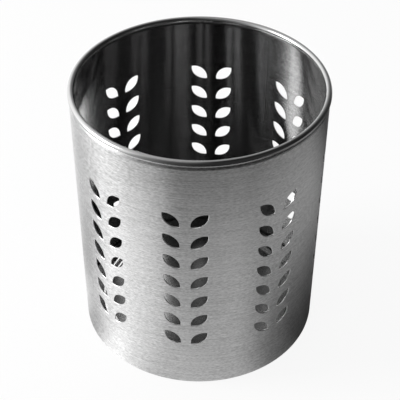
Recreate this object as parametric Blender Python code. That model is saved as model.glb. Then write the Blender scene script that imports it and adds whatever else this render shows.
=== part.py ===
"""Cutlery holder: a perforated sheet-steel wall with a curled rim, and a pressed base pan.

Metres, +Z up. The origin is the centre of the ring that the holder stands on, and the
front is towards -Y. Angles round the holder are in degrees from the front, towards +X.
"""

import math

import bmesh
import bpy
from mathutils import Matrix, Vector

# Overall sizes
RIM_DIAMETER = 0.120
HEIGHT = 0.137
SHEET = 0.0005
PAN_CLEARANCE = 0.0003
FACETS = 64

# The curled rim: the sheet necks in, then rolls over the top and down outside, RIM_PROUD beyond the wall
RIM_PROUD = 0.0006
CURL_HOLLOW_RADIUS = 0.00105
NECK_RADIUS = 0.0022
CURL_LIP = 0.0002

# The foot: the lower edge turned in under the base pan
FOOT_WIDTH = 0.0032
FOOT_BEND_RADIUS = 0.0004

# The butt weld that closes the rolled wall, ground flush outside and left proud inside
SEAM_ANGLE = 145
WELD_WIDTH = 0.0012
WELD_PROUD = 0.00015
WELD_MARGIN = 0.006

# The leaf pattern: columns of leaf pairs, each pair a V about its column's stem line
COLUMN_ANGLES = (-46, -6, 36.5, 83, 129.5, 174, 222, 268)
LEAF_LENGTH = 0.0108
LEAF_WIDTH = 0.0054
LEAF_TILT = 43.5
STEM_HALF_WIDTH = 0.0024
LEAF_PITCH = 0.0122
RIM_TO_LEAVES = 0.0286
BASE_TO_LEAVES = 0.0276
LEAF_EDGE_STEPS = 5
PUNCH_OVERRUN = 0.002

# The base pan: a flange that points down, a flat shoulder and a dished, drilled floor
FLOOR_HEIGHT = 0.0065
PAN_BEND_RADIUS = 0.0008
SHOULDER_WIDTH = 0.0076
DISH_DEPTH = 0.0012
DISH_SLOPE = 0.004
DRAIN_RADIUS = 0.0025
DRAIN_CIRCLE_RADIUS = 0.032
DRAIN_COUNT = 4
DRAIN_SIDES = 16

# Worked out from the sizes above
WALL_RADIUS = RIM_DIAMETER / 2 - RIM_PROUD
WALL_MIDDLE = WALL_RADIUS - SHEET / 2
PAN_RADIUS = WALL_RADIUS - SHEET - PAN_CLEARANCE
DISH_RADIUS = PAN_RADIUS - SHOULDER_WIDTH
CURL_RADIUS = CURL_HOLLOW_RADIUS + SHEET / 2
CURL_CENTRE = Vector((RIM_DIAMETER / 2 - SHEET / 2 - CURL_RADIUS, HEIGHT - SHEET / 2 - CURL_RADIUS))


def clear_scene():
    for thing in list(bpy.data.objects):
        bpy.data.objects.remove(thing, do_unlink=True)


def steel(name, colour, roughness):
    """Bare stainless steel with the given colour and roughness."""
    material = bpy.data.materials.new(name)
    material.use_nodes = True
    shader = material.node_tree.nodes["Principled BSDF"]
    shader.inputs["Base Color"].default_value = (*colour, 1)
    shader.inputs["Metallic"].default_value = 1
    shader.inputs["Roughness"].default_value = roughness
    return material


def add_object(name, form, material=None):
    """Turn a bmesh into a named object with its faces out, smooth between its sharp edges."""
    bmesh.ops.recalc_face_normals(form, faces=form.faces)
    mesh = bpy.data.meshes.new(name)
    form.to_mesh(mesh)
    form.free()
    mesh.shade_smooth()
    mesh.set_sharp_from_angle(angle=math.radians(40))
    thing = bpy.data.objects.new(name, mesh)
    bpy.context.scene.collection.objects.link(thing)
    if material:
        mesh.materials.append(material)
    return thing


def add_tool(name, form):
    """A cutter or filler: a solid that only acts through another object's Boolean."""
    tool = add_object(name, form)
    tool.hide_render = True
    tool.display_type = "WIRE"
    return tool


def apply_tool(target, tool, operation):
    boolean = target.modifiers.new(tool.name, "BOOLEAN")
    boolean.operation = operation
    boolean.solver = "EXACT"
    boolean.object = tool


def around(angle):
    """The direction out from the axis at an angle from the front."""
    turn = math.radians(angle)
    return Vector((math.sin(turn), -math.cos(turn), 0))


def arc(centre, radius, start, end, steps):
    """Points (radius, height) along an arc in the section, angles from outwards towards up."""
    points = []
    for step in range(steps + 1):
        angle = math.radians(start + (end - start) * step / steps)
        points.append(centre + radius * Vector((math.cos(angle), math.sin(angle))))
    return points


def sheet_section(middle):
    """The closed outline of a sheet whose middle line runs through the given points."""
    left, right = [], []
    for i, point in enumerate(middle):
        before = (point - middle[i - 1]).normalized() if i else None
        after = (middle[i + 1] - point).normalized() if i + 1 < len(middle) else None
        along = ((before or after) + (after or before)).normalized()
        normal = Vector((-along.y, along.x))
        offset = SHEET / 2 / along.dot(after or before)
        left.append(point + normal * offset)
        right.append(point - normal * offset)
    return left + right[::-1]


def turned(section):
    """A ring made by turning a closed section round the axis, a facet centred on the seam."""
    form = bmesh.new()
    rings = []
    for facet in range(FACETS):
        out = around(SEAM_ANGLE + 360 * (facet + 0.5) / FACETS)
        rings.append([form.verts.new(out * point.x + Vector((0, 0, point.y))) for point in section])
    for i, ring in enumerate(rings):
        following = rings[(i + 1) % FACETS]
        for j in range(len(section)):
            k = (j + 1) % len(section)
            form.faces.new((ring[j], ring[k], following[k], following[j]))
    return form


def wall_middle_line():
    """From the foot's inner edge, up the wall, in through the neck and over the curl to its short upright lip."""
    bend = FOOT_BEND_RADIUS + SHEET / 2
    bend_centre = Vector((WALL_MIDDLE - bend, SHEET / 2 + bend))
    # The neck's arc leaves the wall upright and runs straight on into the curl's circle
    lean = math.acos((NECK_RADIUS + CURL_CENTRE.x - WALL_MIDDLE) / (NECK_RADIUS + CURL_RADIUS))
    neck_centre = CURL_CENTRE - (NECK_RADIUS + CURL_RADIUS) * Vector((math.cos(lean), math.sin(lean)))
    lean = math.degrees(lean)
    points = [Vector((WALL_RADIUS - FOOT_WIDTH, SHEET / 2))]
    points += arc(bend_centre, bend, -90, 0, 2)
    points += arc(neck_centre, NECK_RADIUS, 0, lean, 3)[:-1]
    points += arc(CURL_CENTRE, CURL_RADIUS, 180 + lean, 180, 2)
    points += arc(CURL_CENTRE, CURL_RADIUS, 180, 0, 6)[1:]
    points.append(CURL_CENTRE + Vector((CURL_RADIUS, -CURL_LIP)))
    return points


def weld_bead():
    """A low bar along the inside of the wall, sunk into the sheet by half its thickness."""
    face = (WALL_RADIUS - SHEET) * math.cos(math.pi / FACETS)
    low, high = FLOOR_HEIGHT + WELD_MARGIN, HEIGHT - WELD_MARGIN
    depth = WELD_PROUD + SHEET / 2
    form = bmesh.new()
    bmesh.ops.create_cube(form, size=1)
    size = Matrix.Diagonal((WELD_WIDTH, depth, high - low, 1))
    turn = Matrix.Rotation(math.radians(SEAM_ANGLE), 4, "Z")
    place = around(SEAM_ANGLE) * (face - WELD_PROUD + depth / 2) + Vector((0, 0, (low + high) / 2))
    form.transform(Matrix.Translation(place) @ turn @ size)
    return form


def leaf_outline():
    """A leaf of two equal arcs that meet in points, lying along X from the origin."""
    half_length, half_width = LEAF_LENGTH / 2, LEAF_WIDTH / 2
    radius = (half_length**2 + half_width**2) / (2 * half_width)
    half_turn = math.asin(half_length / radius)
    edge = []
    for step in range(LEAF_EDGE_STEPS):
        angle = half_turn * (2 * step / LEAF_EDGE_STEPS - 1)
        edge.append((half_length + radius * math.sin(angle), radius * math.cos(angle) - radius + half_width))
    return [Vector((x, z)) for x, z in edge] + [Vector((LEAF_LENGTH - x, -z)) for x, z in edge]


def leaf_punches():
    """One straight punch for each leaf, square to the wall at the leaf's middle."""
    outline = leaf_outline()
    tilt = math.radians(LEAF_TILT)
    rise = LEAF_LENGTH * math.sin(tilt)
    reach = LEAF_LENGTH * math.cos(tilt)
    top = HEIGHT - RIM_TO_LEAVES - rise
    rows = 1 + max(0, round((top - BASE_TO_LEAVES) / LEAF_PITCH))
    half_depth = SHEET / 2 + PUNCH_OVERRUN
    form = bmesh.new()
    for column in COLUMN_ANGLES:
        for side in (-1, 1):
            turn = side * math.degrees((STEM_HALF_WIDTH + reach / 2) / WALL_RADIUS)
            out = around(column + turn)
            across = Vector((-out.y, out.x, 0)) * side
            for row in range(rows):
                middle = out * WALL_MIDDLE + Vector((0, 0, top - row * LEAF_PITCH + rise / 2))
                ends = []
                for depth in (-half_depth, half_depth):
                    end = []
                    for point in outline:
                        x = (point.x - LEAF_LENGTH / 2) * math.cos(tilt) - point.y * math.sin(tilt)
                        z = (point.x - LEAF_LENGTH / 2) * math.sin(tilt) + point.y * math.cos(tilt)
                        end.append(form.verts.new(middle + across * x + Vector((0, 0, z)) + out * depth))
                    ends.append(end)
                form.faces.new(ends[0])
                form.faces.new(ends[1])
                bmesh.ops.bridge_loops(form, edges=[edge for end in ends for edge in loop_edges(end)])
    return form


def loop_edges(verts):
    """The edges of a closed loop of vertices, in order."""
    edges = []
    for i, vert in enumerate(verts):
        other = verts[(i + 1) % len(verts)]
        edges.append(next(edge for edge in vert.link_edges if other in edge.verts))
    return edges


def pan_middle_line():
    """From the flange's lower edge, up and over the bend, across the shoulder and down the dish."""
    bend = PAN_BEND_RADIUS + SHEET / 2
    floor = FLOOR_HEIGHT - SHEET / 2
    bend_centre = Vector((PAN_RADIUS - SHEET / 2 - bend, floor - bend))
    points = [Vector((PAN_RADIUS - SHEET / 2, SHEET + PAN_CLEARANCE))]
    points += arc(bend_centre, bend, 0, 90, 2)
    slope_steps = 4
    for step in range(slope_steps + 1):
        share = step / slope_steps
        fall = DISH_DEPTH * (1 - math.cos(math.pi * share)) / 2
        points.append(Vector((DISH_RADIUS - DISH_SLOPE * share, floor - fall)))
    points.append(Vector((DRAIN_RADIUS, floor - DISH_DEPTH)))
    return points


def drain_punches():
    """A ring of round punches through the dish, around the hole at its middle."""
    form = bmesh.new()
    for i in range(DRAIN_COUNT):
        place = around(360 * (i + 0.5) / DRAIN_COUNT) * DRAIN_CIRCLE_RADIUS
        place.z = FLOOR_HEIGHT - DISH_DEPTH - SHEET / 2
        bmesh.ops.create_cone(
            form,
            cap_ends=True,
            segments=DRAIN_SIDES,
            radius1=DRAIN_RADIUS,
            radius2=DRAIN_RADIUS,
            depth=SHEET + 2 * PUNCH_OVERRUN,
            matrix=Matrix.Translation(place),
        )
    return form


def build_body_wall():
    wall = add_object(
        "body_wall", turned(sheet_section(wall_middle_line())), steel("wall_steel", (0.55, 0.55, 0.54), 0.34)
    )
    apply_tool(wall, add_tool("seam_weld", weld_bead()), "UNION")
    apply_tool(wall, add_tool("leaf_punches", leaf_punches()), "DIFFERENCE")


def build_base_pan():
    pan = add_object(
        "base_pan", turned(sheet_section(pan_middle_line())), steel("pan_steel", (0.6, 0.6, 0.59), 0.28)
    )
    apply_tool(pan, add_tool("drain_punches", drain_punches()), "DIFFERENCE")


def main():
    clear_scene()
    build_body_wall()
    build_base_pan()


main()
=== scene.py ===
"""Looks of a cutlery holder in brushed stainless steel: a perforated wall with a curled rim, and a base pan.

Metres, +Z up. The origin is the middle of the ring that the holder stands on, and the front is
towards -Y. Angles round the holder go from the front towards +X.
"""

import math

import bmesh
import bpy
from bpy.props import FloatProperty, FloatVectorProperty, IntProperty, PointerProperty
from mathutils import Matrix, Vector


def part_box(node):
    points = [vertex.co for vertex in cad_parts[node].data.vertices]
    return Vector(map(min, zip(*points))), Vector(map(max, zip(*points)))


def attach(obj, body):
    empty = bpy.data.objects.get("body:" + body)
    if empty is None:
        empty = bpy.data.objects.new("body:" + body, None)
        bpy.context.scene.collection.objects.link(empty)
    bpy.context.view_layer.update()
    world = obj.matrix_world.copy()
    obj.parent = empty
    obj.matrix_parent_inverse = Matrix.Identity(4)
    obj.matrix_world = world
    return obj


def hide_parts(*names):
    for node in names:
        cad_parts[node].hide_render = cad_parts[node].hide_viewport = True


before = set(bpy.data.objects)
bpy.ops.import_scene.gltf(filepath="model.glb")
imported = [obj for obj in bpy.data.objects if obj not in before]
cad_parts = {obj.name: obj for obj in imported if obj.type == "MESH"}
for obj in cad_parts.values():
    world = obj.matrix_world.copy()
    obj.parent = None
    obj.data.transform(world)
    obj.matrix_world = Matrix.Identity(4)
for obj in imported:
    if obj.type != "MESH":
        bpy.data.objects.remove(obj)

bl_info = {
    "name": "Cutlery Holder",
    "version": (1, 0, 0),
    "blender": (4, 5, 0),
    "location": "View3D > Sidebar > Holder",
    "description": "Builds a perforated sheet-steel cutlery holder and the studio it stands in",
    "category": "Add Mesh",
}

BODY = "root"
MM = 0.001
FULL_TURN = 2 * math.pi
SHARP_ANGLE = math.radians(30)
WALL_LOW, WALL_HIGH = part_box("body_wall")
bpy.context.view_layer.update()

# Columns of leaf pairs, in degrees
COLUMN_ANGLES = (-46, -6, 36.5, 83, 129.5, 174, 222, 268)

# The floor and the paper lie below the holder's foot, so that no two surfaces share a place
FLOOR_DROP = 0.3 * MM
PAPER_DROP = 0.15 * MM

# Where the softbox is, and the point on the holder's axis that it faces
SOFTBOX_PLACE = (-0.9, -0.03, 0.55)
SOFTBOX_AIM = (0, 0, 0.07)

# What the steel mirrors: a tent that glows with painted light, white on the left and dark on the right, over
# paper that glows with painted light and the holder's painted shadow round it. Each pair is an angle in
# degrees and the light there; BRIGHTEST is the most that a light can be.
BRIGHTEST = 2.4
TENT_SIDES = (
    (-168, 0.8), (-155, 1.1), (-140, 1.2), (-110, 1.4), (-80, 1.3), (-62, 1.0), (-52, 0.4), (-40, 0.2),
    (-25, 0.08), (0, 0.03), (30, 0.03), (60, 0.03), (90, 0.015), (120, 0.03), (135, 0.06), (150, 0.14),
    (165, 0.25), (180, 0.45),
)
TENT_OVERHEAD = (
    (-180, 0.35), (-155, 0.3), (-130, 0.6), (-90, 0.5), (-60, 0.25), (-20, 0.18), (0, 0.1), (16, 0.03),
    (60, 0.015), (120, 0.03), (150, 0.1), (172, 0.25),
)
# Close by on the right the paper is nearly black: the holder's painted shadow
PAPER_CLOSE_BY = (
    (-100, 1.3), (-86, 1.0), (-77, 0.5), (-69, 0.45), (-62, 0.75), (-55, 1.35), (-47, 1.75), (-38, 1.4),
    (-22, 0.95), (0, 0.85), (22, 0.7), (40, 0.25), (62, 0.06), (85, 0.02), (110, 0.05), (135, 0.3),
    (165, 0.8), (220, 1.2),
)
PAPER_HALFWAY = (
    (-125, 1.2), (-112, 0.6), (-98, 0.35), (-88, 0.4), (-80, 0.7), (-71, 1.4), (-60, 1.5), (-46, 1.25),
    (-30, 1.15), (-16, 0.75), (0, 0.66), (28, 0.75), (38, 0.55), (50, 0.28), (70, 0.1), (100, 0.03),
    (125, 0.12), (160, 0.4), (200, 1.2),
)
PAPER_FURTHER_OUT = (
    (-150, 1.0), (-130, 1.1), (-116, 0.75), (-98, 0.7), (-84, 1.3), (-72, 1.85), (-58, 2.3), (-44, 2.3),
    (-31, 1.7), (-20, 0.85), (0, 0.95), (30, 1.05), (60, 1.25), (80, 1.1), (103, 0.95), (122, 0.6),
    (138, 0.1), (158, 0.2), (172, 0.6), (180, 0.8),
)
PAPER_FAR_OFF = (
    (-165, 1.4), (-150, 1.5), (-131, 1.2), (-115, 0.75), (-107, 0.9), (-80, 1.0), (-65, 0.9), (-55, 0.4),
    (-33, 0.17), (-22, 0.06), (0, 0.02), (44, 0.03), (65, 0.16), (80, 0.25), (98, 0.24), (108, 0.12),
    (120, 0.045), (132, 0.06), (138, 0.4), (143, 0.9), (158, 1.3), (166, 1.2), (171, 0.8), (178, 1.2),
)
# The paper's rings outside the one close by: each takes over between two distances from the axis
PAPER_RINGS = (
    (PAPER_HALFWAY, 75 * MM, 95 * MM),
    (PAPER_FURTHER_OUT, 110 * MM, 190 * MM),
    (PAPER_FAR_OFF, 200 * MM, 225 * MM),
)


# Sizes and colours


def linear(code):
    """Linear colour of an sRGB hex code."""
    shares = [int(code[i : i + 2], 16) / 255 for i in (0, 2, 4)]
    return tuple(s / 12.92 if s <= 0.04045 else ((s + 0.055) / 1.055) ** 2.4 for s in shares)


def length(name, description, default):
    return FloatProperty(
        name=name, description=description, default=default, unit="LENGTH", precision=5
    )


def angle(name, description, degrees):
    return FloatProperty(
        name=name, description=description, default=math.radians(degrees), unit="ROTATION"
    )


def count(name, description, default, least):
    return IntProperty(name=name, description=description, default=default, min=least)


def colour(name, description, code):
    return FloatVectorProperty(
        name=name, description=description, default=linear(code), size=3, min=0, max=1, subtype="COLOR"
    )


class HolderSizes(bpy.types.PropertyGroup):
    """Sizes of the wall, its rim, its foot and its weld."""

    rim_diameter: length("Rim Diameter", "Width over the curled rim", WALL_HIGH[0] - WALL_LOW[0])
    height: length("Height", "From the table to the top of the rim", WALL_HIGH[2] - WALL_LOW[2])
    sheet: length("Sheet", "Thickness of the steel sheet", 0.5 * MM)
    rim_proud: length("Rim Proud", "How far the rim stands out of the wall", 0.6 * MM)
    curl_hollow: length("Curl Hollow", "Radius of the hollow inside the curled rim", 1.05 * MM)
    neck_radius: length("Neck Radius", "Radius of the bend in under the curl", 2.2 * MM)
    curl_lip: length("Curl Lip", "Upright end of the sheet, below the curl's outer side", 0.2 * MM)
    foot_width: length("Foot Width", "How far the lower edge is turned in", 3.2 * MM)
    foot_bend: length("Foot Bend", "Inner radius of the bend above the foot", 0.4 * MM)
    seam: angle("Seam", "Where the weld is, from the front towards +X", 145)
    weld_width: length("Weld Width", "Width of the weld on the inside", 1.2 * MM)
    weld_proud: length("Weld Proud", "How far the weld stands out of the inner face", 0.03 * MM)
    weld_margin: length("Weld Margin", "Space between the weld and the rim or the pan", 6 * MM)
    weld_ripple: length("Weld Ripple", "From one ripple of the weld to the next", 0.8 * MM)
    facets: count("Facets", "Facets round the wall", 432, least=24)


class LeafSizes(bpy.types.PropertyGroup):
    """The punched leaf pattern."""

    leaf_length: length("Leaf Length", "From tip to tip", 10.8 * MM)
    leaf_width: length("Leaf Width", "Across the middle of a leaf", 5.4 * MM)
    tilt: angle("Tilt", "How far a leaf leans up from level", 43.5)
    stem: length("Stem Half Width", "From the column's middle to a leaf's lower tip", 2.4 * MM)
    pitch: length("Pitch", "From one pair of leaves to the next", 12.2 * MM)
    rim_gap: length("Rim Gap", "From the top of the rim to the uppermost leaf tips", 28.6 * MM)
    rows: count("Rows", "Pairs of leaves in a column", 7, least=1)
    edge_break: length("Edge Break", "Width of the broken edge round each hole", 0.1 * MM)
    edge_steps: count("Edge Steps", "Steps along each side of a leaf", 16, least=3)


class PanSizes(bpy.types.PropertyGroup):
    """The pressed base."""

    clearance: length("Clearance", "Gap between the pan and the wall", 0.3 * MM)
    floor: length("Floor Height", "From the table to the top of the shoulder", 6.5 * MM)
    bend: length("Bend", "Inner radius of the bend into the flange", 0.8 * MM)
    dish_radius: length("Dish Radius", "Where the floor starts to fall", 51 * MM)
    dish_depth: length("Dish Depth", "How far the floor falls", 1.2 * MM)
    dish_slope: length("Dish Slope", "Width of the slope into the dish", 4 * MM)
    drain_radius: length("Drain Radius", "Radius of a drain hole", 2.5 * MM)
    drain_circle: length("Drain Circle", "Radius of the ring of drain holes", 32 * MM)
    drains: count("Drains", "Drain holes in the ring", 4, least=3)
    drain_facets: count("Drain Facets", "Facets round a drain hole", 48, least=8)
    facets: count("Facets", "Facets round the pan", 256, least=24)


class HolderFinish(bpy.types.PropertyGroup):
    """Colours of the steel."""

    wall: colour("Wall Steel", "Brushed stainless steel", "C6C6C6")
    # The inner face's colour is darker than the wall's by painted shade inside the holder
    inside: colour("Inside Steel", "The wall's inner face, finely drawn", "848484")
    rim: colour("Rim Steel", "The smoother, worked steel of the rim", "D2D2D2")
    edge: colour("Cut Edge", "Bare punched edges", "DADADA")
    # The pan's colour is darker by painted shade at the bottom inside the holder
    pan: colour("Pan Steel", "Stainless steel as rolled", "A0A0A0")


class StudioSettings(bpy.types.PropertyGroup):
    """Camera and light."""

    distance: length("Camera Distance", "From the aim point on the axis to the camera", 535.8 * MM)
    elevation: angle("Camera Elevation", "How far the camera looks down", 41.3)
    aim_height: length("Aim Height", "Height at which the view meets the axis", 47.53 * MM)
    focal_px: FloatProperty(name="Focal Length", description="In pixels of the photo", default=1054.7)
    roll: angle("Roll", "Turn of the picture", 0.16)
    key_power: FloatProperty(
        name="Softbox Power", description="Power of the lamp on the left", default=6, min=0, unit="POWER"
    )
    key_width: length("Softbox Width", "Width of the lamp on the left", 400 * MM)
    key_height: length("Softbox Height", "Height of the lamp on the left", 500 * MM)
    tent_radius: length("Tent Radius", "From the holder to the cloth of the tent", 1300 * MM)
    # The card's glow paints the bright streak on the right inner wall as a reflection
    card_light: FloatProperty(
        name="Card Light", description="How bright the card inside the holder is", default=3.6, min=0
    )


# Nodes


def add_node(tree, kind, inputs=None, **settings):
    """Add a node; an input takes a value, or the output of another node, which is linked."""
    node = tree.nodes.new(kind)
    for name, value in settings.items():
        setattr(node, name, value)
    for name, value in (inputs or {}).items():
        if isinstance(value, bpy.types.NodeSocket):
            tree.links.new(value, node.inputs[name])
        else:
            node.inputs[name].default_value = value
    return node


def new_tree(name, inputs):
    """A modifier's geometry node tree, and the outputs that give its named inputs."""
    tree = bpy.data.node_groups.new(name, "GeometryNodeTree")
    tree.is_modifier = True
    for in_out in ("INPUT", "OUTPUT"):
        tree.interface.new_socket("Geometry", in_out=in_out, socket_type="NodeSocketGeometry")
    for label, kind in inputs:
        tree.interface.new_socket(label, in_out="INPUT", socket_type="NodeSocket" + kind)
    return tree, add_node(tree, "NodeGroupInput").outputs


def new_material(name):
    material = bpy.data.materials.new(name)
    material.use_nodes = True
    material.node_tree.nodes.clear()
    return material


def finish_material(material, shader):
    add_node(material.node_tree, "ShaderNodeOutputMaterial", {"Surface": shader.outputs[0]})
    return material


# Materials


def grain(tree, along, apart):
    """Noise drawn out level round the axis: the length of a streak, and from one streak to the next."""
    place = add_node(tree, "ShaderNodeTexCoord").outputs["Object"]
    stretch = add_node(
        tree, "ShaderNodeMapping", {"Vector": place, "Scale": (1 / along, 1 / along, 1 / apart)}
    )
    noise = add_node(
        tree,
        "ShaderNodeTexNoise",
        {"Vector": stretch.outputs[0], "Scale": 1, "Detail": 3, "Roughness": 0.6},
    )
    return noise.outputs["Fac"]


def brushed_steel(name, base, roughness, anisotropy, wave):
    """Stainless steel brushed round the axis: light runs up it in soft bands, across a fine level grain."""
    material = new_material(name)
    tree = material.node_tree
    # Long brush lines and short scratches; the real ones are about 0.05 mm apart, drawn wide enough to show
    lines = grain(tree, along=24 * MM, apart=0.4 * MM)
    scratches = grain(tree, along=1.6 * MM, apart=0.55 * MM)
    scratch_share = 0.6
    both = add_node(tree, "ShaderNodeMix", {0: scratch_share, 2: lines, 3: scratches})

    # The grain is lighter and darker, smoother and rougher; nearly all of the noise lies in this span
    span = {"Value": both.outputs[0], "From Min": 0.3, "From Max": 0.7}
    contrast = 0.5
    light = add_node(
        tree, "ShaderNodeMapRange", {**span, "To Min": 1 - contrast, "To Max": 1 + contrast}
    )
    tone = add_node(
        tree, "ShaderNodeVectorMath", {0: base, "Scale": light.outputs[0]}, operation="SCALE"
    )
    spread = 0.05
    rough = add_node(
        tree, "ShaderNodeMapRange", {**span, "To Min": roughness - spread, "To Max": roughness + spread}
    )

    # The sheet is rolled a little unevenly, which makes the bands waver, and the grain is cut into it
    place = add_node(tree, "ShaderNodeTexCoord").outputs["Object"]
    wave_width, wave_height = 9 * MM, 60 * MM
    slow = add_node(
        tree,
        "ShaderNodeMapping",
        {"Vector": place, "Scale": (1 / wave_width, 1 / wave_width, 1 / wave_height)},
    )
    uneven = add_node(tree, "ShaderNodeTexNoise", {"Vector": slow.outputs[0], "Scale": 1, "Detail": 2})
    rolled = add_node(
        tree, "ShaderNodeBump", {"Height": uneven.outputs["Fac"], "Strength": 1, "Distance": wave}
    )
    grain_depth = 0.02 * MM
    cut = add_node(
        tree,
        "ShaderNodeBump",
        {
            "Height": both.outputs[0],
            "Strength": 0.35,
            "Distance": grain_depth,
            "Normal": rolled.outputs[0],
        },
    )
    up = add_node(tree, "ShaderNodeCombineXYZ", {"Z": 1})
    shader = add_node(
        tree,
        "ShaderNodeBsdfPrincipled",
        {
            "Base Color": tone.outputs[0],
            "Metallic": 1,
            "Roughness": rough.outputs[0],
            "Anisotropic": anisotropy,
            "Tangent": up.outputs[0],
            "Normal": cut.outputs[0],
        },
    )
    return finish_material(material, shader)


def plain_steel(name, base, roughness):
    """Stainless steel without brush lines, faintly cloudy."""
    material = new_material(name)
    tree = material.node_tree
    place = add_node(tree, "ShaderNodeTexCoord").outputs["Object"]
    cloud_width = 6 * MM
    cloud = add_node(
        tree, "ShaderNodeTexNoise", {"Vector": place, "Scale": 1 / cloud_width, "Detail": 3}
    )
    spread = 0.04
    rough = add_node(
        tree,
        "ShaderNodeMapRange",
        {"Value": cloud.outputs["Fac"], "To Min": roughness - spread, "To Max": roughness + spread},
    )
    shader = add_node(
        tree,
        "ShaderNodeBsdfPrincipled",
        {"Base Color": (*base, 1), "Metallic": 1, "Roughness": rough.outputs[0]},
    )
    return finish_material(material, shader)


def materials():
    """The holder's materials, made when they are first asked for."""
    finish = bpy.context.scene.holder_finish
    made = bpy.data.materials
    if "brushed_stainless" not in made:
        # The wall's outer face: level brush lines that draw each light out into a soft upright band
        brushed_steel("brushed_stainless", finish.wall, roughness=0.34, anisotropy=0.9, wave=0.02 * MM)
        # The inner face, drawn smoother: the same bands, but narrower and wavering, and darker by painted
        # shade
        brushed_steel("drawn_stainless", finish.inside, roughness=0.2, anisotropy=1.0, wave=0.08 * MM)
        # The curled rim, worked smooth: white lines beside nearly black ones
        plain_steel("polished_stainless", finish.rim, roughness=0.16)
        # Bare steel where a leaf is punched out: a thin pale line round each hole
        plain_steel("punched_edge", finish.edge, roughness=0.3)
        # Sheet as it leaves the mill: an even, faintly cloudy grey without brush lines, darkened by painted
        # shade
        plain_steel("rolled_stainless", finish.pan, roughness=0.2)
    return made


# Shapes


def around(turn):
    """The direction out from the axis, turned from the front towards +X."""
    return Vector((math.sin(turn), -math.cos(turn), 0))


def arc(centre, radius, start, end, steps):
    """Points (radius, height) along an arc in the section, angles from outwards towards up."""
    points = []
    for step in range(steps + 1):
        turn = start + (end - start) * step / steps
        points.append(centre + radius * Vector((math.cos(turn), math.sin(turn))))
    return points


def sheet_section(middle, sheet):
    """The closed outline of a sheet whose middle line runs through the given points."""
    left, right = [], []
    for i, point in enumerate(middle):
        before = (point - middle[i - 1]).normalized() if i else None
        after = (middle[i + 1] - point).normalized() if i + 1 < len(middle) else None
        along = ((before or after) + (after or before)).normalized()
        normal = Vector((-along.y, along.x))
        offset = sheet / 2 / along.dot(after or before)
        left.append(point + normal * offset)
        right.append(point - normal * offset)
    return left + right[::-1]


def join_rings(form, rings):
    """Faces between each closed ring of vertices and the next."""
    for ring, following in zip(rings, rings[1:]):
        for j in range(len(ring)):
            k = (j + 1) % len(ring)
            form.faces.new((ring[j], ring[k], following[k], following[j]))


def cap_ends(form, rings):
    form.faces.new(rings[0])
    form.faces.new(rings[-1])


def smooth(mesh):
    """Shade a mesh smooth between its sharp edges."""
    mesh.shade_smooth()
    mesh.set_sharp_from_angle(angle=SHARP_ANGLE)


def add_piece(name, form):
    """Turn a bmesh into an object."""
    mesh = bpy.data.meshes.new(name)
    form.to_mesh(mesh)
    form.free()
    smooth(mesh)
    piece = bpy.data.objects.new(name, mesh)
    bpy.context.scene.collection.objects.link(piece)
    return piece


def apply_tree(piece, tree, values):
    """Run a node tree on a piece and keep the result as its plain mesh."""
    modifier = piece.modifiers.new(tree.name, "NODES")
    modifier.node_group = tree
    for item in tree.interface.items_tree:
        if item.in_out == "INPUT" and item.name in values:
            modifier[item.identifier] = values[item.name]
    bpy.context.view_layer.update()
    evaluated = piece.evaluated_get(bpy.context.evaluated_depsgraph_get())
    mesh = bpy.data.meshes.new_from_object(evaluated)
    piece.modifiers.remove(modifier)
    blank = piece.data
    piece.data = mesh
    bpy.data.meshes.remove(blank)
    for i in reversed(range(len(mesh.materials))):
        if mesh.materials[i] is None:
            mesh.materials.pop(index=i)
    mesh.name = piece.name
    smooth(mesh)


def carry(piece, slot, *nodes):
    """A piece of the holder: it rides on the one body and stands for its solids."""
    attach(piece, BODY)
    if nodes:
        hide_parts(*nodes)


# Perforated wall


def wall_middle_radius():
    sizes = bpy.context.scene.holder_sizes
    return sizes.rim_diameter / 2 - sizes.rim_proud - sizes.sheet / 2


def wall_middle_line():
    """From the foot's inner edge, up the wall, in through the neck and over the curl to its upright lip."""
    sizes = bpy.context.scene.holder_sizes
    half = sizes.sheet / 2
    wall = wall_middle_radius()
    curl = sizes.curl_hollow + half
    curl_centre = Vector((sizes.rim_diameter / 2 - half - curl, sizes.height - half - curl))
    # The neck's arc leaves the wall upright and runs straight on into the curl's circle
    lean = math.acos((sizes.neck_radius + curl_centre.x - wall) / (sizes.neck_radius + curl))
    neck_centre = curl_centre - (sizes.neck_radius + curl) * Vector((math.cos(lean), math.sin(lean)))
    bend = sizes.foot_bend + half
    bend_centre = Vector((wall - bend, half + bend))
    points = [Vector((wall + half - sizes.foot_width, half))]
    points += arc(bend_centre, bend, -math.pi / 2, 0, steps=6)
    points += arc(neck_centre, sizes.neck_radius, 0, lean, steps=8)[:-1]
    points += arc(curl_centre, curl, math.pi + lean, 0, steps=24)
    points.append(curl_centre + Vector((curl, -sizes.curl_lip)))
    return points


def curl_foot():
    """The height that the curl reaches down to, above which the rim is polished."""
    sizes = bpy.context.scene.holder_sizes
    return sizes.height - 2 * (sizes.curl_hollow + sizes.sheet)


def sheet_blank():
    """The wall laid out flat: X along the wall from seam to seam, -Y out of it, +Z up it."""
    sizes = bpy.context.scene.holder_sizes
    middle = wall_middle_radius()
    section = sheet_section(wall_middle_line(), sizes.sheet)
    form = bmesh.new()
    rings = []
    for i in range(sizes.facets + 1):
        x = middle * (sizes.seam + FULL_TURN * i / sizes.facets)
        rings.append([form.verts.new((x, middle - point.x, point.y)) for point in section])
    join_rings(form, rings)
    cap_ends(form, rings)
    bmesh.ops.recalc_face_normals(form, faces=form.faces)
    return form


def leaf_outline(long, wide, steps):
    """A leaf of two equal arcs in the XZ plane, its middle at the origin, lying along X."""
    half_length, half_width = long / 2, wide / 2
    radius = (half_length**2 + half_width**2) / (2 * half_width)
    half_turn = math.asin(half_length / radius)
    side = []
    for step in range(steps):
        turn = half_turn * (2 * step / steps - 1)
        side.append((radius * math.sin(turn), radius * math.cos(turn) - radius + half_width))
    return side + [(-x, -z) for x, z in side]


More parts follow.
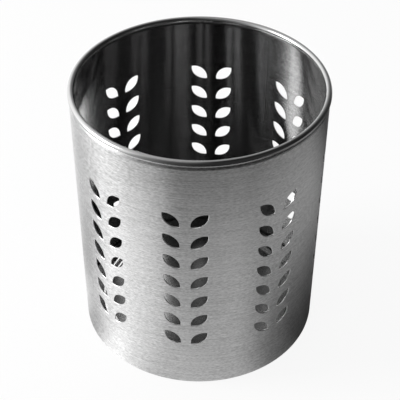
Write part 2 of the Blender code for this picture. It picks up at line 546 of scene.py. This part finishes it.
def leaf_punch():
    """A punch that cuts straight through the sheet and breaks the edge on its outer face."""
    leaf = bpy.context.scene.holder_leaves
    half = bpy.context.scene.holder_sizes.sheet / 2
    overrun = 0.4 * MM
    # A pointed tip moves out further than the leaf's sides where the edge is broken
    tip_share = 1.4
    form = bmesh.new()
    rings = []
    for y, grow in (
        (-half - overrun, leaf.edge_break + overrun),
        (leaf.edge_break - half, 0),
        (half + overrun, 0),
    ):
        long = leaf.leaf_length + 2 * tip_share * grow
        outline = leaf_outline(long, leaf.leaf_width + 2 * grow, leaf.edge_steps)
        rings.append([form.verts.new((x, y, z)) for x, z in outline])
    join_rings(form, rings)
    cap_ends(form, rings)
    bmesh.ops.recalc_face_normals(form, faces=form.faces)
    return form


def punch_columns(tree, given):
    """Punch the columns of leaves through the flat sheet: two leaves to a row, leaning off the stem."""
    punch = add_node(tree, "GeometryNodeObjectInfo", {"Object": given["Punch"]})
    down = add_node(tree, "ShaderNodeMath", {0: given["Pitch"], 1: -1}, operation="MULTIPLY")
    step = add_node(tree, "ShaderNodeCombineXYZ", {"Z": down.outputs[0]})
    column = add_node(tree, "GeometryNodeJoinGeometry")
    for side in (-1, 1):
        aside = add_node(
            tree, "ShaderNodeMath", {0: given["Leaf Offset"], 1: side}, operation="MULTIPLY"
        )
        start = add_node(
            tree, "ShaderNodeCombineXYZ", {"X": aside.outputs[0], "Z": given["First Row"]}
        )
        line = add_node(
            tree,
            "GeometryNodeMeshLine",
            {"Count": given["Rows"], "Start Location": start.outputs[0], "Offset": step.outputs[0]},
        )
        lean = add_node(tree, "ShaderNodeMath", {0: given["Tilt"], 1: -side}, operation="MULTIPLY")
        leaning = add_node(tree, "ShaderNodeCombineXYZ", {"Y": lean.outputs[0]})
        leaves = add_node(
            tree,
            "GeometryNodeInstanceOnPoints",
            {
                "Points": line.outputs[0],
                "Instance": punch.outputs["Geometry"],
                "Rotation": leaning.outputs[0],
            },
        )
        tree.links.new(leaves.outputs[0], column.inputs[0])
    stems = add_node(tree, "GeometryNodeObjectInfo", {"Object": given["Stems"]})
    columns = add_node(
        tree,
        "GeometryNodeInstanceOnPoints",
        {"Points": stems.outputs["Geometry"], "Instance": column.outputs[0]},
    )
    punches = add_node(tree, "GeometryNodeRealizeInstances", {"Geometry": columns.outputs[0]})
    punched = add_node(
        tree,
        "GeometryNodeMeshBoolean",
        {"Mesh 1": given["Geometry"], "Mesh 2": punches.outputs[0]},
        operation="DIFFERENCE",
        solver="EXACT",
    )
    return punched.outputs[0]


def open_ends(tree, given, sheet, spot):
    """Take the faces off the blank's two ends, which meet at the seam."""
    first = add_node(
        tree, "ShaderNodeMath", {0: spot["X"], 1: given["Sheet Start"]}, operation="LESS_THAN"
    )
    last = add_node(
        tree, "ShaderNodeMath", {0: spot["X"], 1: given["Sheet End"]}, operation="GREATER_THAN"
    )
    ends = add_node(
        tree, "ShaderNodeMath", {0: first.outputs[0], 1: last.outputs[0]}, operation="MAXIMUM"
    )
    opened = add_node(
        tree,
        "GeometryNodeDeleteGeometry",
        {"Geometry": sheet, "Selection": ends.outputs[0]},
        domain="FACE",
        mode="ONLY_FACE",
    )
    return opened.outputs[0]


def give_steel(tree, given, sheet, spot):
    """Steel for the sheet's two faces, then for the cut edges: what isn't flat in the leaves' zone."""
    # The normal's Y is 1 on the inner face, -1 on the outer face and about 0 on a cut edge
    normal = add_node(tree, "GeometryNodeInputNormal")
    facing = add_node(tree, "ShaderNodeSeparateXYZ", {0: normal.outputs[0]}).outputs
    inward = add_node(tree, "ShaderNodeMath", {0: facing["Y"], 1: 0.5}, operation="GREATER_THAN")
    flat = add_node(tree, "ShaderNodeMath", {0: facing["Y"]}, operation="ABSOLUTE")
    across = add_node(tree, "ShaderNodeMath", {0: flat.outputs[0], 1: 0.9}, operation="LESS_THAN")
    over = add_node(
        tree, "ShaderNodeMath", {0: spot["Z"], 1: given["Leaf Zone Low"]}, operation="GREATER_THAN"
    )
    under = add_node(
        tree, "ShaderNodeMath", {0: spot["Z"], 1: given["Leaf Zone High"]}, operation="LESS_THAN"
    )
    zone = add_node(
        tree, "ShaderNodeMath", {0: over.outputs[0], 1: under.outputs[0]}, operation="MULTIPLY"
    )
    cut = add_node(
        tree, "ShaderNodeMath", {0: zone.outputs[0], 1: across.outputs[0]}, operation="MULTIPLY"
    )
    for material, chosen in (
        (given["Outer Steel"], True),
        (given["Inner Steel"], inward.outputs[0]),
        (given["Edge Steel"], cut.outputs[0]),
    ):
        steel = add_node(
            tree,
            "GeometryNodeSetMaterial",
            {"Geometry": sheet, "Selection": chosen, "Material": material},
        )
        sheet = steel.outputs[0]
    return sheet


def roll_up(tree, given, sheet, spot):
    """Roll: X becomes the turn round the axis, Y the distance in from the middle of the sheet."""
    turn = add_node(
        tree, "ShaderNodeMath", {0: spot["X"], 1: given["Middle Radius"]}, operation="DIVIDE"
    )
    reach = add_node(
        tree, "ShaderNodeMath", {0: spot["Y"], 1: given["Middle Radius"]}, operation="SUBTRACT"
    )
    front = add_node(tree, "ShaderNodeCombineXYZ", {"Y": reach.outputs[0], "Z": spot["Z"]})
    place = add_node(
        tree,
        "ShaderNodeVectorRotate",
        {"Vector": front.outputs[0], "Angle": turn.outputs[0]},
        rotation_type="Z_AXIS",
    )
    rolled = add_node(
        tree, "GeometryNodeSetPosition", {"Geometry": sheet, "Position": place.outputs[0]}
    )
    seam_gap = 0.002 * MM
    closed = add_node(
        tree, "GeometryNodeMergeByDistance", {"Geometry": rolled.outputs[0], "Distance": seam_gap}
    )
    return closed.outputs[0]


def perforation_tree():
    """Geometry nodes that punch the leaf columns through the flat sheet and roll it into a tube."""
    tree, given = new_tree(
        "Punch and Roll",
        (
            ("Punch", "Object"),
            ("Stems", "Object"),
            ("Rows", "Int"),
            ("Pitch", "Float"),
            ("First Row", "Float"),
            ("Leaf Offset", "Float"),
            ("Tilt", "Float"),
            ("Middle Radius", "Float"),
            ("Sheet Start", "Float"),
            ("Sheet End", "Float"),
            ("Curl Foot", "Float"),
            ("Leaf Zone Low", "Float"),
            ("Leaf Zone High", "Float"),
            ("Outer Steel", "Material"),
            ("Inner Steel", "Material"),
            ("Rim Steel", "Material"),
            ("Edge Steel", "Material"),
        ),
    )
    place = add_node(tree, "GeometryNodeInputPosition")
    spot = add_node(tree, "ShaderNodeSeparateXYZ", {0: place.outputs[0]}).outputs
    sheet = punch_columns(tree, given)
    sheet = open_ends(tree, given, sheet, spot)
    sheet = give_steel(tree, given, sheet, spot)
    sheet = roll_up(tree, given, sheet, spot)
    whole = add_node(tree, "GeometryNodeRealizeInstances", {"Geometry": sheet})
    curl = add_node(
        tree, "ShaderNodeMath", {0: spot["Z"], 1: given["Curl Foot"]}, operation="GREATER_THAN"
    )
    rim = add_node(
        tree,
        "GeometryNodeSetMaterial",
        {"Geometry": whole.outputs[0], "Selection": curl.outputs[0], "Material": given["Rim Steel"]},
    )
    add_node(tree, "NodeGroupOutput", {"Geometry": rim.outputs[0]})
    return tree


class HOLDER_OT_wall(bpy.types.Operator):
    """Build the punched and rolled wall with its rim and foot"""

    bl_idname = "holder.wall"
    bl_label = "Perforated Wall"

    def execute(self, context):
        sizes = context.scene.holder_sizes
        leaf = context.scene.holder_leaves
        made = materials()
        middle = wall_middle_radius()
        rise = leaf.leaf_length * math.sin(leaf.tilt)
        reach = leaf.leaf_length * math.cos(leaf.tilt)
        first_row = sizes.height - leaf.rim_gap - rise / 2
        # The blank's end faces lie within this margin of its ends
        end_margin = 0.1 * MM
        wall = add_piece("wall_sheet", sheet_blank())
        punch = add_piece("leaf_punch", leaf_punch())
        # Each stem is a point on the flat sheet, taken past the seam where it would fall before it
        stems = bmesh.new()
        for column in COLUMN_ANGLES:
            turn = (math.radians(column) - sizes.seam) % FULL_TURN + sizes.seam
            stems.verts.new((turn * middle, 0, 0))
        stem_points = add_piece("leaf_stems", stems)
        apply_tree(
            wall,
            perforation_tree(),
            {
                "Punch": punch,
                "Stems": stem_points,
                "Rows": leaf.rows,
                "Pitch": leaf.pitch,
                "First Row": first_row,
                "Leaf Offset": leaf.stem + reach / 2,
                "Tilt": leaf.tilt,
                "Middle Radius": middle,
                "Sheet Start": middle * sizes.seam + end_margin,
                "Sheet End": middle * (sizes.seam + FULL_TURN) - end_margin,
                "Curl Foot": curl_foot(),
                "Leaf Zone Low": first_row - leaf.rows * leaf.pitch,
                "Leaf Zone High": first_row + leaf.pitch,
                "Outer Steel": made["brushed_stainless"],
                "Inner Steel": made["drawn_stainless"],
                "Rim Steel": made["polished_stainless"],
                "Edge Steel": made["punched_edge"],
            },
        )
        for tool in (punch, stem_points):
            bpy.data.objects.remove(tool, do_unlink=True)
        carry(wall, "wall_steel", "body_wall")
        return {"FINISHED"}


# Seam weld


class HOLDER_OT_weld(bpy.types.Operator):
    """Build the weld bead along the inside of the seam"""

    bl_idname = "holder.weld"
    bl_label = "Seam Weld"

    def execute(self, context):
        sizes = context.scene.holder_sizes
        pan = context.scene.holder_pan
        face = wall_middle_radius() - sizes.sheet / 2
        low = pan.floor + sizes.weld_margin
        high = sizes.height - sizes.weld_margin
        # The bead is sunk into the sheet, and swells by a share of its size at each ripple
        sunk = 0.05 * MM
        swell_share = 0.12
        steps_per_ripple = 4
        steps_across = 8
        form = bmesh.new()
        rings = []
        steps_up = round((high - low) / sizes.weld_ripple) * steps_per_ripple
        for i in range(steps_up + 1):
            z = low + (high - low) * i / steps_up
            swell = 1 + swell_share * math.cos(FULL_TURN * i / steps_per_ripple)
            ring = []
            for j in range(steps_across + 1):
                share = 2 * j / steps_across - 1
                turn = sizes.seam + share * sizes.weld_width / 2 * swell / face
                rise = (sizes.weld_proud + sunk) * math.cos(math.pi / 2 * share) * swell
                ring.append(form.verts.new(around(turn) * (face + sunk - rise) + Vector((0, 0, z))))
            rings.append(ring)
        join_rings(form, rings)
        cap_ends(form, rings)
        bmesh.ops.recalc_face_normals(form, faces=form.faces)
        weld = add_piece("seam_weld", form)
        weld.data.materials.append(materials()["drawn_stainless"])
        carry(weld, "wall_steel")
        return {"FINISHED"}


# Base pan


def pan_middle_line():
    """From the flange's lower edge, up and over the bend, across the shoulder and down the dish."""
    sizes = bpy.context.scene.holder_sizes
    pan = bpy.context.scene.holder_pan
    half = sizes.sheet / 2
    outer = wall_middle_radius() - half - pan.clearance - half
    floor = pan.floor - half
    bend = pan.bend + half
    points = [Vector((outer, sizes.sheet + pan.clearance))]
    points += arc(Vector((outer - bend, floor - bend)), bend, 0, math.pi / 2, steps=8)
    slope_steps = 16
    for step in range(slope_steps + 1):
        share = step / slope_steps
        fall = pan.dish_depth * (1 - math.cos(math.pi * share)) / 2
        points.append(Vector((pan.dish_radius - pan.dish_slope * share, floor - fall)))
    # Rings in the flat of the dish keep its faces from getting too long
    for share in (0.75, 0.5, 0.25):
        points.append(Vector((share * pan.dish_radius, floor - pan.dish_depth)))
    points.append(Vector((pan.drain_radius, floor - pan.dish_depth)))
    return points


def turned(section, facets):
    """A ring made by turning a closed section round the axis."""
    form = bmesh.new()
    rings = []
    for i in range(facets):
        out = around(FULL_TURN * i / facets)
        rings.append([form.verts.new(out * point.x + Vector((0, 0, point.y))) for point in section])
    join_rings(form, rings + rings[:1])
    bmesh.ops.recalc_face_normals(form, faces=form.faces)
    return form


def drain_tree():
    """Geometry nodes that drill a ring of round holes through the pan."""
    tree, given = new_tree(
        "Drain Holes",
        (
            ("Count", "Int"),
            ("Circle Radius", "Float"),
            ("Hole Radius", "Float"),
            ("Hole Facets", "Int"),
            ("Depth", "Float"),
            ("Height", "Float"),
            ("Turn", "Float"),
            ("Steel", "Material"),
        ),
    )
    ring = add_node(
        tree, "GeometryNodeMeshCircle", {"Vertices": given["Count"], "Radius": given["Circle Radius"]}
    )
    drill = add_node(
        tree,
        "GeometryNodeMeshCylinder",
        {"Vertices": given["Hole Facets"], "Radius": given["Hole Radius"], "Depth": given["Depth"]},
    )
    drills = add_node(
        tree, "GeometryNodeInstanceOnPoints", {"Points": ring.outputs[0], "Instance": drill.outputs[0]}
    )
    lift = add_node(tree, "ShaderNodeCombineXYZ", {"Z": given["Height"]})
    turn = add_node(tree, "ShaderNodeCombineXYZ", {"Z": given["Turn"]})
    raised = add_node(
        tree,
        "GeometryNodeTransform",
        {"Geometry": drills.outputs[0], "Translation": lift.outputs[0], "Rotation": turn.outputs[0]},
    )
    drilled = add_node(
        tree,
        "GeometryNodeMeshBoolean",
        {"Mesh 1": given["Geometry"], "Mesh 2": raised.outputs[0]},
        operation="DIFFERENCE",
        solver="EXACT",
    )
    whole = add_node(tree, "GeometryNodeRealizeInstances", {"Geometry": drilled.outputs[0]})
    steel = add_node(
        tree, "GeometryNodeSetMaterial", {"Geometry": whole.outputs[0], "Material": given["Steel"]}
    )
    add_node(tree, "NodeGroupOutput", {"Geometry": steel.outputs[0]})
    return tree


class HOLDER_OT_pan(bpy.types.Operator):
    """Build the pressed base pan with its drain holes"""

    bl_idname = "holder.pan"
    bl_label = "Base Pan"

    def execute(self, context):
        sizes = context.scene.holder_sizes
        pan = context.scene.holder_pan
        section = sheet_section(pan_middle_line(), sizes.sheet)
        piece = add_piece("pressed_pan", turned(section, pan.facets))
        apply_tree(
            piece,
            drain_tree(),
            {
                "Count": pan.drains,
                "Circle Radius": pan.drain_circle,
                "Hole Radius": pan.drain_radius,
                "Hole Facets": pan.drain_facets,
                "Depth": 4 * sizes.sheet,
                "Height": pan.floor - pan.dish_depth - sizes.sheet / 2,
                "Turn": math.pi / pan.drains - math.pi / 2,
                "Steel": materials()["rolled_stainless"],
            },
        )
        carry(piece, "pan_steel", "base_pan")
        return {"FINISHED"}


# Studio


def aim(thing, target, roll=0.0):
    """Turn a camera or a light so that it looks at a point."""
    look = (Vector(target) - thing.location).to_track_quat("-Z", "Y").to_matrix().to_4x4()
    thing.rotation_euler = (look @ Matrix.Rotation(roll, 4, "Z")).to_euler()


def shown(tree):
    """1 where the eye, a reflection or a see-through part shows the backdrop, 0 where it only gives light."""
    path = add_node(tree, "ShaderNodeLightPath").outputs
    seen = path["Is Camera Ray"]
    for ray in ("Is Glossy Ray", "Is Transmission Ray"):
        either = add_node(tree, "ShaderNodeMath", {0: seen, 1: path[ray]}, operation="MAXIMUM")
        seen = either.outputs[0]
    return seen


def sweep(tree, place, stops):
    """Light that changes round the holder; each stop is an angle in degrees and a light."""
    turn = add_node(tree, "ShaderNodeTexGradient", {"Vector": place}, gradient_type="RADIAL")
    ramp = add_node(tree, "ShaderNodeValToRGB", {"Fac": turn.outputs["Fac"]})
    elements = ramp.color_ramp.elements
    while len(elements) < len(stops):
        elements.new(0.5)
    # The gradient runs from 0 to 1 round the axis, and starts a quarter turn before the front
    places = sorted(((degrees + 90) % 360 / 360, light / BRIGHTEST) for degrees, light in stops)
    for element, (position, light) in zip(elements, places):
        element.position = position
        element.color = (light, light, light, 1)
    return ramp.outputs[0]


def glowing_surface(material, tone):
    """Finish a material that glows by a tone of BRIGHTEST."""
    glow = add_node(material.node_tree, "ShaderNodeEmission", {"Color": tone, "Strength": BRIGHTEST})
    return finish_material(material, glow)


def tent_cloth():
    """Cloth that glows with painted light: white on the left, nearly black on the right, dim overhead."""
    material = new_material("tent_cloth")
    tree = material.node_tree
    place = add_node(tree, "ShaderNodeTexCoord").outputs["Object"]
    # The light overhead takes over between these shares of the dome's height
    out = add_node(tree, "ShaderNodeVectorMath", {0: place}, operation="NORMALIZE")
    rise = add_node(tree, "ShaderNodeSeparateXYZ", {0: out.outputs[0]})
    share = add_node(
        tree, "ShaderNodeMapRange", {"Value": rise.outputs["Z"], "From Min": 0.7, "From Max": 0.95}
    )
    tone = add_node(
        tree,
        "ShaderNodeMix",
        {
            "Factor": share.outputs[0],
            6: sweep(tree, place, TENT_SIDES),
            7: sweep(tree, place, TENT_OVERHEAD),
        },
        data_type="RGBA",
    )
    return glowing_surface(material, tone.outputs[2])


def graduated_paper():
    """Paper that glows with painted light: white on the left, grey in front, and nearly black close by on the
    right, where the holder's shadow is painted.
    """
    material = new_material("graduated_paper")
    tree = material.node_tree
    place = add_node(tree, "ShaderNodeTexCoord").outputs["Object"]
    reach = add_node(tree, "ShaderNodeVectorMath", {0: place}, operation="LENGTH").outputs["Value"]
    # From the ring close by outwards, each ring fades into the next
    tone = sweep(tree, place, PAPER_CLOSE_BY)
    for stops, start, end in PAPER_RINGS:
        share = add_node(
            tree, "ShaderNodeMapRange", {"Value": reach, "From Min": start, "From Max": end}
        )
        mixed = add_node(
            tree,
            "ShaderNodeMix",
            {"Factor": share.outputs[0], 6: tone, 7: sweep(tree, place, stops)},
            data_type="RGBA",
        )
        tone = mixed.outputs[2]
    return glowing_surface(material, tone)


def one_sided_card(light):
    """Glows towards the axis as a painted reflection, and is not there at all from behind."""
    material = new_material("lit_card")
    tree = material.node_tree
    facing = add_node(tree, "ShaderNodeNewGeometry")
    glow = add_node(tree, "ShaderNodeEmission", {"Strength": light})
    clear = add_node(tree, "ShaderNodeBsdfTransparent")
    card = add_node(
        tree,
        "ShaderNodeMixShader",
        {0: facing.outputs["Backfacing"], 1: glow.outputs[0], 2: clear.outputs[0]},
    )
    return finish_material(material, card)


def floor_paper():
    """White paper: it gives light as any white does, and where it shows it is nearly free of shadow."""
    material = new_material("floor_paper")
    tree = material.node_tree
    paper = add_node(tree, "ShaderNodeBsdfDiffuse", {"Color": (0.8, 0.8, 0.8, 1)})
    faint = add_node(tree, "ShaderNodeBsdfDiffuse", {"Color": (0.12, 0.12, 0.12, 1)})
    glow = add_node(tree, "ShaderNodeEmission", {"Strength": 0.88})
    lit = add_node(tree, "ShaderNodeAddShader", {0: faint.outputs[0], 1: glow.outputs[0]})
    mixed = add_node(
        tree, "ShaderNodeMixShader", {0: shown(tree), 1: paper.outputs[0], 2: lit.outputs[0]}
    )
    return finish_material(material, mixed)


class HOLDER_OT_studio(bpy.types.Operator):
    """Build the floor, the lights and the camera"""

    bl_idname = "holder.studio"
    bl_label = "Studio"

    def execute(self, context):
        scene = context.scene
        scene.view_settings.view_transform = "Standard"
        self.add_camera(scene)
        self.add_floor()
        self.add_world(scene)
        self.add_softbox(scene)
        self.add_tent(scene)
        self.add_paper(scene)
        self.add_card(scene)
        return {"FINISHED"}

    def add_camera(self, scene):
        studio = scene.holder_studio
        photo_width = 400
        # Where the view's middle lies in the photo, in pixels from its upper left corner
        centre = (199.15, 231.0)
        data = bpy.data.cameras.new("photo_camera")
        data.lens = data.sensor_width * studio.focal_px / photo_width
        data.shift_x = (photo_width / 2 - centre[0]) / photo_width
        data.shift_y = (centre[1] - photo_width / 2) / photo_width
        data.clip_start = 10 * MM
        camera = bpy.data.objects.new("photo_camera", data)
        scene.collection.objects.link(camera)
        level = studio.distance * math.cos(studio.elevation)
        rise = studio.distance * math.sin(studio.elevation)
        camera.location = (0, -level, studio.aim_height + rise)
        aim(camera, (0, 0, studio.aim_height), studio.roll)
        scene.camera = camera

    def add_floor(self):
        half_width = 1.5
        form = bmesh.new()
        bmesh.ops.create_grid(form, x_segments=1, y_segments=1, size=half_width)
        floor = add_piece("floor", form)
        floor.location.z = -FLOOR_DROP
        floor.data.materials.append(floor_paper())

    def add_world(self, scene):
        """A white backdrop that gives less light than it shows."""
        world = bpy.data.worlds.new("studio")
        scene.world = world
        world.use_nodes = True
        tree = world.node_tree
        tree.nodes.clear()
        white = (1, 1, 1, 1)
        given = add_node(tree, "ShaderNodeBackground", {"Color": white, "Strength": 0.6})
        seen = add_node(tree, "ShaderNodeBackground", {"Color": white, "Strength": 1})
        mixed = add_node(
            tree, "ShaderNodeMixShader", {0: shown(tree), 1: given.outputs[0], 2: seen.outputs[0]}
        )
        add_node(tree, "ShaderNodeOutputWorld", {"Surface": mixed.outputs[0]})

    def add_softbox(self, scene):
        """A large soft lamp on the left, which lights that side of the steel."""
        studio = scene.holder_studio
        data = bpy.data.lights.new("key_softbox", "AREA")
        data.shape = "RECTANGLE"
        data.size, data.size_y = studio.key_width, studio.key_height
        data.energy = studio.key_power
        lamp = bpy.data.objects.new("key_softbox", data)
        scene.collection.objects.link(lamp)
        lamp.location = SOFTBOX_PLACE
        aim(lamp, SOFTBOX_AIM)

    def add_reflector(self, name, form, material):
        """A sheet that shows only in the steel's reflections and casts no shadow."""
        card = add_piece(name, form)
        card.data.materials.append(material)
        card.visible_camera = card.visible_diffuse = card.visible_shadow = False

    def add_tent(self, scene):
        """A dome of cloth over the holder, which glows with painted light."""
        form = bmesh.new()
        bmesh.ops.create_uvsphere(
            form, u_segments=64, v_segments=32, radius=scene.holder_studio.tent_radius
        )
        below = [vertex for vertex in form.verts if vertex.co.z < -10 * MM]
        bmesh.ops.delete(form, geom=below, context="VERTS")
        self.add_reflector("light_tent", form, tent_cloth())

    def add_paper(self, scene):
        """A square of paper that glows with painted light and shadow under the holder, as wide as the tent.
        """
        far = scene.holder_studio.tent_radius
        form = bmesh.new()
        corners = ((-far, -far), (far, -far), (far, far), (-far, far))
        form.faces.new([form.verts.new((x, y, -PAPER_DROP)) for x, y in corners])
        self.add_reflector("graduated_paper", form, graduated_paper())

    def add_card(self, scene):
        """A curved card inside, behind on the left, which glows so that the right inner wall shows a painted
        reflection: the bright streak.
        """
        # Angles in degrees from the front towards +X
        start, end, steps = -157, -137, 12
        radius = 57 * MM
        low, high = 22 * MM, 84 * MM
        form = bmesh.new()
        edges = []
        for i in range(steps + 1):
            out = around(math.radians(start + (end - start) * i / steps)) * radius
            edges.append([form.verts.new(out + Vector((0, 0, z))) for z in (low, high)])
        for edge, following in zip(edges, edges[1:]):
            form.faces.new((following[0], edge[0], edge[1], following[1]))
        self.add_reflector("card_inside", form, one_sided_card(scene.holder_studio.card_light))


# Add-on


GROUPS = {
    "holder_sizes": HolderSizes,
    "holder_leaves": LeafSizes,
    "holder_pan": PanSizes,
    "holder_finish": HolderFinish,
    "holder_studio": StudioSettings,
}
OPERATORS = (HOLDER_OT_wall, HOLDER_OT_weld, HOLDER_OT_pan, HOLDER_OT_studio)


class HOLDER_PT_sidebar(bpy.types.Panel):
    """Sizes and build buttons of the cutlery holder"""

    bl_label = "Cutlery Holder"
    bl_idname = "HOLDER_PT_sidebar"
    bl_space_type = "VIEW_3D"
    bl_region_type = "UI"
    bl_category = "Holder"

    def draw(self, context):
        for operator in OPERATORS:
            self.layout.operator(operator.bl_idname)
        for group in GROUPS:
            box = self.layout.box()
            settings = getattr(context.scene, group)
            for name in settings.bl_rna.properties.keys():
                if name not in ("rna_type", "name"):
                    box.prop(settings, name)


def register():
    for kind in (*GROUPS.values(), *OPERATORS, HOLDER_PT_sidebar):
        bpy.utils.register_class(kind)
    for name, kind in GROUPS.items():
        setattr(bpy.types.Scene, name, PointerProperty(type=kind))


def unregister():
    for name in GROUPS:
        delattr(bpy.types.Scene, name)
    for kind in (HOLDER_PT_sidebar, *OPERATORS[::-1], *list(GROUPS.values())[::-1]):
        bpy.utils.unregister_class(kind)


def main():
    register()
    bpy.ops.holder.wall()
    bpy.ops.holder.weld()
    bpy.ops.holder.pan()
    bpy.ops.holder.studio()


if __name__ == "__main__":
    main()
